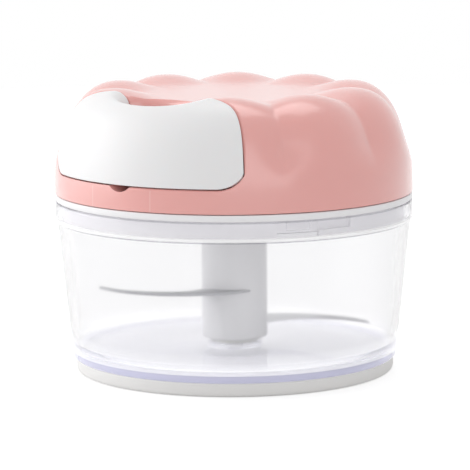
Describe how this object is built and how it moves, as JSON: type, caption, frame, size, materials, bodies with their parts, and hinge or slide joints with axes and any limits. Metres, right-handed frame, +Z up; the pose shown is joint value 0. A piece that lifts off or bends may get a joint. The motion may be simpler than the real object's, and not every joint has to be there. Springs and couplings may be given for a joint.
{
  "type": "pull-cord food chopper",
  "caption": "Manual food chopper: a clear bowl with curved blades on a centre tube, under a petal-domed lid with a flush pull handle on a recoil cord.",
  "frame": {"origin": "centre of the base pad's underside, on the surface the chopper stands on", "axes": "+Z up along the bowl's axis; the handle pulls out along -Y; +X completes the right-handed frame"},
  "size_m": [0.1162, 0.1162, 0.0928],
  "materials": {
    "pink_gloss": "smooth semi-gloss moulded plastic, pale coral pink",
    "white_gloss": "smooth semi-gloss moulded plastic, white",
    "clear_plastic": "clear polished plastic",
    "white_rubber": "soft matte moulded rubber, off-white",
    "silicone": "translucent silicone",
    "tube_plastic": "satin moulded plastic, off-white",
    "acetal": "satin slippery plastic, natural white",
    "steel": "polished stainless steel",
    "cord_braid": "braided nylon, white"
  },
  "bodies": {
    "bowl": {"base_pad": "white_rubber", "bowl": "clear_plastic", "pivot_pin": "steel"},
    "seal": {"sealing_ring": "silicone"},
    "lid": {"petal_cover": "pink_gloss", "lid_base": "white_gloss", "underside_cover": "white_gloss", "shaft_bush": "acetal", "reel_housing": "white_gloss", "cord_guide": "steel", "cord_grommet": "acetal", "reel_axle": "steel", "recoil_spring": "steel", "cover_screw_1": "steel", "cover_screw_2": "steel", "cover_screw_3": "steel", "cover_screw_4": "steel", "housing_screw_1": "steel", "housing_screw_2": "steel", "housing_screw_3": "steel"},
    "handle": {"handle_grip": "white_gloss", "handle_back": "white_gloss", "cord_knot": "acetal", "cord_lead": "cord_braid"},
    "reel": {"cord_reel": "white_gloss", "spring_lid": "acetal", "cord_winding": "cord_braid"},
    "drive": {"drive_shaft": "acetal", "clutch_rotor": "acetal"},
    "blade_seat": {"pivot_bush": "acetal"},
    "blades": {"blade_tube": "tube_plastic", "lower_blade": "steel", "upper_blade": "steel"}
  },
  "joints": [
    {"name": "lid_lift", "type": "slide", "parent": "bowl", "child": "seal", "axis": [0, 0, 1], "range_m": [0, 0.08]},
    {"name": "lid_turn", "type": "hinge", "parent": "seal", "child": "lid", "pos_m": [0, 0, 0.056], "axis": [0, 0, 1], "range_deg": [-15, 0]},
    {"name": "pull", "type": "slide", "parent": "lid", "child": "handle", "axis": [0, -1, 0], "range_m": [0, 0.3], "stiffness_N_per_m": 30, "springref_m": -0.1, "deforming": ["cord_lead"]},
    {"name": "reel_spin", "type": "hinge", "parent": "lid", "child": "reel", "pos_m": [0, 0, 0.066], "axis": [0, 0, 1], "range_deg": [-1005, 0], "deforming": ["recoil_spring"]},
    {"name": "drive_spin", "type": "hinge", "parent": "lid", "child": "drive", "pos_m": [0, 0, 0.05], "axis": [0, 0, 1], "range_deg": [-1005, 0]},
    {"name": "blade_lift", "type": "slide", "parent": "bowl", "child": "blade_seat", "axis": [0, 0, 1], "range_m": [0, 0.04]},
    {"name": "blade_spin", "type": "hinge", "parent": "blade_seat", "child": "blades", "pos_m": [0, 0, 0.02], "axis": [0, 0, 1], "range_deg": [-1005, 0]}
  ],
  "couplings": [
    {"joint": "reel_spin", "follows": "pull", "rad_per_m": -58.139},
    {"joint": "drive_spin", "follows": "pull", "rad_per_m": -58.139},
    {"joint": "blade_spin", "follows": "pull", "rad_per_m": -58.139},
    {"joint": "blade_lift", "follows": "lid_lift", "ratio": 0.5}
  ]
}
